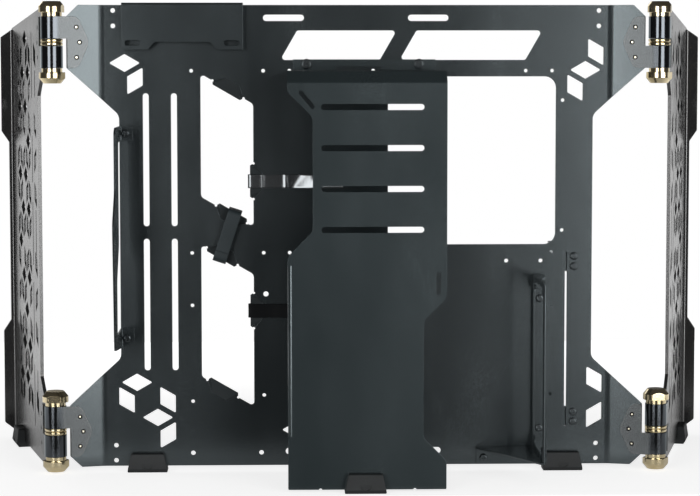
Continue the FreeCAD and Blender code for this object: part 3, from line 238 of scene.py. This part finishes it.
def coatMaterial(name, look):
    n = Finish(name)
    rounded = n.roundEdges(look["edgeRadius"])
    grain = n.noise(look["grain"])
    smear = n.noise(look["smear"], look["smearStretch"])
    sway = n.span(grain, noiseSpan, (look["rough"] - look["roughSway"], look["rough"] + look["roughSway"]))
    rough = n.sums("ADD", sway, n.span(smear, look["smearSpan"], look["smearRough"]))
    color = coatColor(n, look, rounded)
    if "cut" in look:
        # cut and pressed faces: painted shade, nearly black, with more roughness
        turned = turnedFaces(n, look)
        color = n.blend(turned, color, look["cut"])
        rough = n.sums("ADD", rough, n.sums("MULTIPLY", turned, look["cutRough"]))
    n.put(color=color, rough=rough, specular=look["specular"], ior=look["ior"], tint=look["tint"],
          normal=n.bump(grain, look["grainHeight"], 1.0, rounded))
    return n.material


# Hinges: the left and right axes are mirror images, so a finish asks how far a point is inwards of its axis

hingeAxis = {"x": 0.2617101, "y": -0.0434379}


def fromHinge(n):
    x, y, z = n.parts(n.coords)
    inwards = n.sums("SUBTRACT", hingeAxis["x"], n.sums("ABSOLUTE", x))
    return inwards, n.sums("SUBTRACT", y, hingeAxis["y"]), z


# Leaves: satin coat on the flat leaf with a painted highlight along its rim and a painted shadow as a dark
# outline, polished to a gloss round the barrel

hingeBlack = {
    "leafDark": linear(20, 23, 25), "leafLight": linear(28, 31, 33), "leafRough": 0.27,
    "barrel": linear(88, 92, 96), "barrelRough": 0.1, "barrelSpan": (0.0098, 0.0112), "roughSway": 0.08,
    "rim": linear(200, 200, 194), "rimReach": 0.0019, "rimSpan": (0.995, 0.96), "rimAmount": 0.5,
    "outline": linear(6, 7, 8), "outlineSpan": (0.965, 0.93),
    "cloud": (40.0, 3.0, 0.6), "grain": (3000.0, 3.0, 0.6), "grainHeight": 0.00003, "grainStrength": 0.6,
    "edgeRadius": 0.0005, "specular": 1.0, "ior": 1.6, "tint": (0.92, 0.98, 1.0, 1.0),
}


def hingeMaterial(look):
    n = Finish("hingeBlack")
    rounded = n.roundEdges(look["edgeRadius"])
    inwards, behind, _ = fromHinge(n)
    flat = n.span(n.reach(inwards, behind), look["barrelSpan"])
    turn = n.flatness(n.roundEdges(look["rimReach"]))
    leaf = n.blend(n.span(n.noise(look["cloud"]), noiseSpan), look["leafDark"], look["leafLight"])
    # pale rim: painted highlight; dark outline beside it: painted shadow
    leaf = n.blend(n.span(turn, look["rimSpan"], (0.0, look["rimAmount"])), leaf, look["rim"])
    leaf = n.blend(n.span(turn, look["outlineSpan"]), leaf, look["outline"])
    grain = n.noise(look["grain"])
    sway = n.sums("MULTIPLY", n.sums("SUBTRACT", grain, noiseMiddle), look["roughSway"])
    rough = n.sums("ADD", n.span(flat, whole, (look["barrelRough"], look["leafRough"])), sway)
    n.put(color=n.blend(flat, look["barrel"], leaf), metal=n.span(flat, whole, (1.0, 0.0)), rough=rough,
          specular=look["specular"], ior=look["ior"], tint=look["tint"],
          normal=n.bump(grain, look["grainHeight"], look["grainStrength"], rounded))
    return n.material


# Turned brass: pale champagne gold with fine rings from the tool and slow clouds in the polish

capBrass = {
    "light": linear(232, 218, 184), "dark": linear(206, 189, 146), "toneSpan": (0.35, 0.7),
    "rings": (2600.0, 2.0, 0.5), "ringStretch": (0.02, 0.02, 1.0), "ringHeight": 0.00002, "ringStrength": 0.5,
    "cloud": (60.0, 4.0, 0.6), "rough": 0.13, "roughSway": 0.07, "roughSpan": (0.3, 0.75),
    "edgeRadius": 0.00035,
}
rivetBrass = dict(capBrass, light=linear(112, 106, 92), dark=linear(84, 78, 64), rough=0.14)
pinSteel = dict(capBrass, light=linear(176, 178, 182), dark=linear(132, 134, 138), rough=0.24)


def brassMaterial(name, look):
    n = Finish(name)
    cloud = n.noise(look["cloud"])
    color = n.blend(n.span(cloud, look["toneSpan"]), look["light"], look["dark"])
    rough = n.span(cloud, look["roughSpan"], (look["rough"], look["rough"] + look["roughSway"]))
    rings = n.noise(look["rings"], look["ringStretch"])
    n.put(color=color, rough=rough, metal=1.0,
          normal=n.bump(rings, look["ringHeight"], look["ringStrength"], n.roundEdges(look["edgeRadius"])))
    return n.material


# Frame rivets: blackened heads, each with a painted highlight where its dome stands highest.
# A place is the rivet's distance from the hinge axis along the ear and its height from the hinge's middle.
# middle is the height halfway between the upper and lower hinges, and hingeRise how far each is from it.

rivetWear = {
    "earTurn": math.radians(14.0), "middle": 0.20475, "hingeRise": 0.16825,
    "places": ((0.0226, 0.0), (0.0199, 0.0129)), "spotSpan": (0.0006, 0.0011),
    "crown": linear(232, 226, 208), "head": linear(16, 16, 15),
    "dust": (900.0, 3.0, 0.6), "roughEnds": (0.15, 0.28),
}


def wornRivetMaterial(look):
    n = Finish("wornRivet")
    inwards, behind, height = fromHinge(n)
    along = n.sums("ADD", n.sums("MULTIPLY", inwards, math.cos(look["earTurn"])),
                   n.sums("MULTIPLY", behind, math.sin(look["earTurn"])))
    fromMiddle = n.sums("ABSOLUTE", n.sums("SUBTRACT", height, look["middle"]))
    fromBarrel = n.sums("ABSOLUTE", n.sums("SUBTRACT", fromMiddle, look["hingeRise"]))
    away = [n.reach(n.sums("SUBTRACT", along, run), n.sums("SUBTRACT", fromBarrel, rise))
            for run, rise in look["places"]]
    # bright spot at the top of the dome: a painted highlight
    spot = n.span(n.sums("MINIMUM", *away), look["spotSpan"], (1.0, 0.0))
    n.put(color=n.blend(spot, look["head"], look["crown"]), metal=1.0,
          rough=n.span(n.noise(look["dust"]), noiseSpan, look["roughEnds"]))
    return n.material


# Moulded rubber: fine pits, pale dust and painted shade along its creases and edges

footRubber = {
    "dark": linear(14, 19, 21), "light": linear(22, 28, 30), "dust": (70.0, 3.0, 0.6),
    "dustSpan": (0.4, 0.75), "crease": linear(5, 6, 7), "creaseSpan": (0.99, 0.93), "edgeRadius": 0.001,
    "pits": (1500.0, 5.0, 0.7), "pitHeight": 0.00006, "roughEnds": (0.5, 0.7), "specular": 0.6,
}


def rubberMaterial(name, look):
    n = Finish(name)
    pits = n.noise(look["pits"])
    rounded = n.roundEdges(look["edgeRadius"])
    color = n.blend(n.span(n.noise(look["dust"]), look["dustSpan"]), look["dark"], look["light"])
    # dark line along creases and edges: painted shade
    color = n.blend(n.span(n.flatness(rounded), look["creaseSpan"]), color, look["crease"])
    n.put(color=color, rough=n.span(pits, noiseSpan, look["roughEnds"]), specular=look["specular"],
          normal=n.bump(pits, look["pitHeight"], 1.0, rounded))
    return n.material


# Cable straps: woven ribbons that follow their own run. A ribbon is columns of points wide, a step apart
# along it, and slightly cupped. face is the place of the plate's cable side, sheet the plate's thickness,
# seat the strap's gap from it, and leanSpan the run in x where a free end leans.

straps = {
    "width": 0.0118, "thick": 0.0014, "cup": 0.0001, "softWidth": 0.0003, "softSteps": 2,
    "step": 0.0012, "columns": 9, "face": -0.0401755, "sheet": 0.002, "seat": 0.0001,
    "leanSpan": (-0.058, -0.036), "cloth": "clothRun",
}

# Webbing: a tight weave laid out along the strap, with a woven border

strapCloth = {
    "dark": linear(11, 12, 13), "light": linear(26, 29, 31), "thread": 0.00055, "threadTone": (0.0, 0.8),
    "weaveHeight": 0.000008, "weaveStrength": 0.7, "ridge": 0.5, "border": 0.0009, "borderFull": 0.6,
    "fuzz": (4200.0, 4.0, 0.7), "fuzzTone": (0.4, 1.0), "rough": 0.19, "smoother": 0.06, "rougher": 0.1,
    "specular": 1.0, "ior": 1.9, "tint": (0.92, 0.97, 1.0, 1.0),
}
loopCloth = dict(strapCloth, dark=linear(7, 8, 9), light=linear(17, 19, 21), weaveHeight=0.00003,
                 rough=0.6, ior=1.5, specular=0.2)
hookCloth = dict(strapCloth, dark=linear(32, 40, 43), light=linear(56, 66, 69), weaveHeight=0.00002,
                 rough=0.5, ior=1.5, specular=0.4)


def strapMaterial(name, look):
    n = Finish(name)
    n.coords = n.add("ShaderNodeUVMap", uv_map=straps["cloth"]).outputs[0]
    across, along, _ = n.parts(n.coords)
    turns = 2.0 * math.pi / look["thread"]
    weave = n.sums("MULTIPLY", n.sums("SINE", n.sums("MULTIPLY", across, turns)),
                   n.sums("SINE", n.sums("MULTIPLY", along, turns)))
    half = 0.5 * straps["width"]
    borderSpan = (half - look["border"], half - look["borderFull"] * look["border"])
    border = n.span(n.sums("ABSOLUTE", across), borderSpan)
    height = n.sums("ADD", n.sums("MULTIPLY", weave, look["ridge"]), border)
    fuzz = n.noise(look["fuzz"])
    tone = n.sums("MULTIPLY", n.span(weave, (-1.0, 1.0), look["threadTone"]),
                  n.span(fuzz, noiseSpan, look["fuzzTone"]))
    n.put(color=n.blend(tone, look["dark"], look["light"]),
          rough=n.span(fuzz, noiseSpan, (look["rough"] - look["smoother"], look["rough"] + look["rougher"])),
          specular=look["specular"], ior=look["ior"], tint=look["tint"],
          normal=n.bump(height, look["weaveHeight"], look["weaveStrength"]))
    return n.material


# A CAD node keeps its shape and takes this finish in its slots
def dressNode(name, material):
    node = nodes[name]
    node.data.materials.clear()
    node.data.materials.append(material)


def dressAll():
    coats = {"plate_paint": ("mainCoat", mainCoat), "cover_paint": ("plateCoat", plateCoat),
             "bracket_paint": ("bracketCoat", bracketCoat), "wing_paint": ("wingCoat", wingCoat),
             "screw_black": ("screwBlack", screwBlack)}
    finishes = {slot: coatMaterial(name, look) for slot, (name, look) in coats.items()}
    finishes["hinge_black"] = hingeMaterial(hingeBlack)
    finishes["hinge_brass"] = brassMaterial("capBrass", capBrass)
    finishes["rivet_brass"] = brassMaterial("rivetBrass", rivetBrass)
    finishes["pin_steel"] = brassMaterial("pinSteel", pinSteel)
    finishes["foot_rubber"] = rubberMaterial("footRubber", footRubber)
    finishes["strap_fabric"] = strapMaterial("strapCloth", strapCloth)
    for part in record["subparts"]:
        dressNode(part["node"], finishes[part["material_slot"]])
    dressNode("frame_leaf_rivets", wornRivetMaterial(rivetWear))
    print("dressed", len(record["subparts"]), "nodes")
    return finishes["strap_fabric"]


# Points of a smooth line through the given ones, a step apart
def smoothLine(points, step):
    line = []
    for i in range(len(points) - 1):
        here, there = points[i], points[i + 1]
        before = points[i - 1] if i else points[0] * 2.0 - points[1]
        after = points[i + 2] if i + 2 < len(points) else points[-1] * 2.0 - points[-2]
        pieces = max(2, round((there - here).length / step))
        for k in range(pieces):
            t = k / pieces
            line.append(0.5 * (2.0 * here + (there - before) * t
                               + (2.0 * before - 5.0 * here + 4.0 * there - after) * t * t
                               + (3.0 * here - before - 3.0 * there + after) * t * t * t))
    line.append(points[-1].copy())
    return line


# A ribbon along a line, its width along side(i), with the cloth laid out flat for the weave
def ribbon(name, line, side, material, node):
    mesh = bpy.data.meshes.new(name)
    work = bmesh.new()
    cloth = work.loops.layers.uv.new(straps["cloth"])
    columns, width = straps["columns"], straps["width"]
    rows, run, lengths = [], 0.0, []
    for i, point in enumerate(line):
        ahead, back = line[min(i + 1, len(line) - 1)], line[max(i - 1, 0)]
        wide = side(i)
        out = (ahead - back).normalized().cross(wide).normalized()
        if i:
            run += (point - line[i - 1]).length
        lengths.append(run)
        row = []
        for k in range(columns):
            u = 2.0 * k / (columns - 1) - 1.0
            bulge = out * (straps["cup"] * (1.0 - u * u))
            row.append(work.verts.new(point + wide * (0.5 * width * u) + bulge))
        rows.append(row)
    for i in range(len(rows) - 1):
        for k in range(columns - 1):
            corners = ((i, k), (i, k + 1), (i + 1, k + 1), (i + 1, k))
            face = work.faces.new([rows[a][b] for a, b in corners])
            face.smooth = True
            for loop, (a, b) in zip(face.loops, corners):
                loop[cloth].uv = (width * (b / (columns - 1) - 0.5), lengths[a])
    work.to_mesh(mesh)
    work.free()
    mesh.materials.append(material)
    piece = bpy.data.objects.new(name, mesh)
    bpy.context.collection.objects.link(piece)
    thick = piece.modifiers.new("thickness", "SOLIDIFY")
    thick.thickness = straps["thick"]
    thick.offset = 0.0
    soft = piece.modifiers.new("softEdges", "BEVEL")
    soft.width = straps["softWidth"]
    soft.segments = straps["softSteps"]
    soft.limit_method = "ANGLE"
    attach(piece, "frame")
    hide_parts(node)
    return piece


# The upper and lower straps lie on the plate and turn round the edge of an opening. Their points lie in
# plan: tip is the free end and kinks the bends the photograph shows, as x and as y from the cable face.

upperRun = {
    "node": "upper_strap", "piece": "upperStrapCloth", "flat": (0.0118, 0.117), "held": "laid",
    "height": 0.2532, "lean": -0.6,
    "tip": ((-0.012, -0.0009), (-0.024, -0.0040), (-0.0330, -0.0056), (-0.0420, -0.0034), (-0.0510, -0.0010)),
    "kinks": ((-0.0580, -0.0009), (-0.0618, -0.00135), (-0.0640, -0.0009), (-0.0780, -0.0009),
              (-0.0812, -0.00115), (-0.0835, -0.0009)),
}
lowerRun = {
    "node": "lower_strap", "piece": "lowerStrapCloth", "flat": (0.0118, 0.088), "held": "laid",
    "height": 0.1406, "lean": 0.1,
    "tip": ((-0.040, -0.0009), (-0.052, -0.0012)),
    "kinks": ((-0.0660, -0.0013), (-0.0740, -0.0009), (-0.0830, -0.0009)),
}

# The turn round the edge: each point is x from the edge, and y from the cable face, the back of the turn
# or the strap's seat on the board side
edgeTurn = {
    "face": ((0.0012, -0.0009), (0.0, 0.0004)),
    "lip": ((0.0, -0.0009), (0.0013, 0.0)),
    "behind": ((0.0090, 0.0012), (0.0150, 0.0), (0.0290, 0.0)),
}


def edgeStrap(run, material):
    low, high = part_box(run["node"])
    half = 0.5 * straps["thick"]
    levels = {"face": straps["face"], "lip": high[1] - half,
              "behind": straps["face"] + straps["sheet"] + straps["seat"] + half}
    route = [(x, straps["face"] + y) for x, y in run["tip"] + run["kinks"]]
    for key, level in levels.items():
        route += [(low[0] + half + x, level + y) for x, y in edgeTurn[key]]
    line = smoothLine([Vector((x, y, run["height"])) for x, y in route], straps["step"])
    leanStart, leanEnd = straps["leanSpan"]

    # The free end leans, most at the middle of leanSpan, so that its fold runs aslant as in the photograph
    def side(i):
        part = min(1.0, max(0.0, (line[i].x - leanStart) / (leanEnd - leanStart)))
        return Vector((-run["lean"] * part * (1.0 - part) * 4.0, 0.0, 1.0))

    piece = ribbon(run["piece"], line, side, material, run["node"])


# The middle strap hangs loose round the bridge. A point of its plan is its place along the strap's height,
# from -1 to 1, the layer that it lies in, and how far behind that layer it is. apart is how far the inner
# layer lies behind the front one, in thicknesses.

middleRun = {
    "lean": math.radians(18.0), "flat": (0.0118, 0.141), "apart": 1.08,
    "plan": (
        (0.86, "inner", 0.0), (0.40, "inner", 0.0004), (-0.20, "inner", 0.0), (-0.80, "inner", 0.0),
        (-0.93, "inner", 0.0008), (-0.985, "front", 0.0048), (-1.0, "middle", 0.0), (-1.0, "back", -0.0020),
        (-0.93, "back", 0.0), (0.0, "back", -0.0004), (0.93, "back", 0.0), (1.0, "back", -0.0020),
        (1.0, "middle", 0.0), (0.985, "front", 0.0036), (0.90, "front", 0.0), (0.40, "front", -0.0003),
        (-0.20, "front", 0.0002), (-0.62, "front", 0.0),
    ),
}


def middleStrap(material):
    low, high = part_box("middle_strap")
    lean = middleRun["lean"]
    half = 0.5 * straps["thick"]
    wide = Vector((math.cos(lean), 0.0, -math.sin(lean)))
    along = Vector((math.sin(lean), 0.0, math.cos(lean)))
    centre = Vector((0.5 * (low[0] + high[0]), 0.0, 0.5 * (low[2] + high[2])))
    tall = high[2] - low[2] - straps["width"] * math.sin(lean)
    reach = 0.5 * tall / math.cos(lean) - half
    front, back = low[1] + half, high[1] - half
    layers = {"inner": front + middleRun["apart"] * straps["thick"], "front": front, "back": back,
              "middle": 0.5 * (front + back)}
    points = [centre + along * (a * reach) + Vector((0.0, layers[layer] + y, 0.0))
              for a, layer, y in middleRun["plan"]]
    line = smoothLine(points, straps["step"])
    piece = ribbon("middleStrapCloth", line, lambda i: wide, material, "middle_strap")


def buildStraps(satin):
    edgeStrap(upperRun, satin)
    edgeStrap(lowerRun, strapMaterial("loopCloth", loopCloth))
    middleStrap(strapMaterial("hookCloth", hookCloth))
    print("three cable straps laid")


# Room: a pale floor, a pale backdrop behind and a dark room in front, with a soft box at each side of the
# camera and one behind. floorNear and glossNear are the floor's own glow beside the object, for the camera
# and for reflections.

room = {
    "floorFront": -0.16, "floorBack": 0.9, "floorSide": 0.95, "floorColor": linear(206, 206, 206),
    "floorNear": 0.76, "glossNear": 0.35, "floorSpan": (0.4, 0.85), "behindSpan": (-0.4, 0.0),
    "worldLight": 0.2, "darkGloss": 0.05, "backdropSpan": (0.25, 0.6),
    "bandHeight": -0.08, "bandSpan": (0.22, 0.04),
}


def buildWorld():
    world = bpy.data.worlds.new("studioWorld")
    bpy.context.scene.world = world
    world.use_nodes = True
    n = Wiring(world.node_tree)
    path = n.add("ShaderNodeLightPath").outputs
    way = n.parts(n.add("ShaderNodeTexCoord").outputs["Generated"])
    off = n.sums("ABSOLUTE", n.sums("SUBTRACT", way[2], room["bandHeight"]))
    behind = n.sums("MULTIPLY", n.span(way[1], room["backdropSpan"], smooth=True),
                    n.span(off, room["bandSpan"], smooth=True))
    gloss = n.span(behind, whole, (room["darkGloss"], 1.0))
    light = n.span(path["Is Glossy Ray"], whole, (room["worldLight"], gloss))
    seen = n.sums("MAXIMUM", path["Is Camera Ray"], path["Is Transmission Ray"])
    back = n.add("ShaderNodeBackground")
    back.inputs["Color"].default_value = white
    n.link(n.span(seen, whole, (light, 1.0)), back.inputs["Strength"])
    n.link(back.outputs[0], n.add("ShaderNodeOutputWorld").inputs["Surface"])


def buildFloor():
    side, front, rear = room["floorSide"], room["floorFront"], room["floorBack"]
    corners = [(-side, front, 0.0), (side, front, 0.0), (side, rear, 0.0), (-side, rear, 0.0)]
    mesh = bpy.data.meshes.new("studioFloor")
    mesh.from_pydata(corners, [], [(0, 1, 2, 3)])
    floor = bpy.data.objects.new("studioFloor", mesh)
    bpy.context.collection.objects.link(floor)
    floor.location.z = cadLow[2]
    n = Finish("paleFloor")
    n.tree.nodes.remove(n.shader)
    matt = n.add("ShaderNodeBsdfDiffuse")
    matt.inputs["Color"].default_value = room["floorColor"]
    length = n.add("ShaderNodeVectorMath", operation="LENGTH")
    n.link(n.coords, length.inputs[0])
    away = length.outputs["Value"]
    glow = n.span(away, room["floorSpan"], (room["floorNear"], 1.0))
    gloss = n.span(away, room["floorSpan"], (room["glossNear"], 1.0))
    behind = n.span(n.parts(n.coords)[1], room["behindSpan"])
    path = n.add("ShaderNodeLightPath").outputs
    straight = n.sums("MAXIMUM", path["Is Camera Ray"], path["Is Transmission Ray"])
    mirrored = n.sums("MULTIPLY", path["Is Glossy Ray"], n.sums("MULTIPLY", gloss, behind))
    shine = n.add("ShaderNodeEmission")
    n.link(n.sums("MAXIMUM", n.sums("MULTIPLY", straight, glow), mirrored), shine.inputs["Strength"])
    both = n.add("ShaderNodeAddShader")
    n.link(matt.outputs[0], both.inputs[0])
    n.link(shine.outputs[0], both.inputs[1])
    n.link(both.outputs[0], n.out.inputs["Surface"])
    mesh.materials.append(n.material)


# Soft boxes stand round the object, turned in degrees from the front, and aim at its middle line
lamps = (
    {"name": "leftBox", "turn": -27.5, "away": 3.4, "height": 0.44, "aim": 0.44,
     "size": (1.40, 1.64), "glow": 5.0},
    {"name": "rightBox", "turn": 29.7, "away": 3.4, "height": 0.44, "aim": 0.44,
     "size": (1.85, 1.64), "glow": 5.0},
    {"name": "backBox", "turn": 200.0, "away": 2.4, "height": 1.3, "aim": 0.6,
     "size": (1.6, 1.0), "glow": 1.8},
)


def buildLamps():
    for lamp in lamps:
        turn = math.radians(lamp["turn"])
        data = bpy.data.lights.new(lamp["name"], "AREA")
        data.shape = "RECTANGLE"
        data.size, data.size_y = lamp["size"]
        data.energy = lamp["glow"] * math.pi * lamp["size"][0] * lamp["size"][1]
        light = bpy.data.objects.new(lamp["name"], data)
        light.location = (lamp["away"] * math.sin(turn), -lamp["away"] * math.cos(turn), lamp["height"])
        aim = Vector((0.0, 0.0, lamp["aim"])) - light.location
        light.rotation_euler = aim.to_track_quat("-Z", "Y").to_euler()
        light.visible_camera = False
        bpy.context.collection.objects.link(light)


# The photograph's viewpoint, turned in degrees from looking straight back
shot = {
    "at": (-0.0588, -2.0396, 0.3545), "pitch": -4.557, "yaw": -1.523, "roll": 0.03,
    "lens": 118.85, "sensor": 36.0,
}


def buildCamera():
    data = bpy.data.cameras.new("productCamera")
    data.sensor_width = shot["sensor"]
    data.lens = shot["lens"]
    camera = bpy.data.objects.new("productCamera", data)
    camera.location = shot["at"]
    camera.rotation_euler = [math.radians(turn) for turn in (90.0 + shot["pitch"], shot["roll"], shot["yaw"])]
    bpy.context.collection.objects.link(camera)
    bpy.context.scene.camera = camera


buildCamera()
buildWorld()
buildFloor()
buildLamps()
print("room and camera ready")
buildStraps(dressAll())

bpy.context.scene.view_settings.view_transform = "Standard"
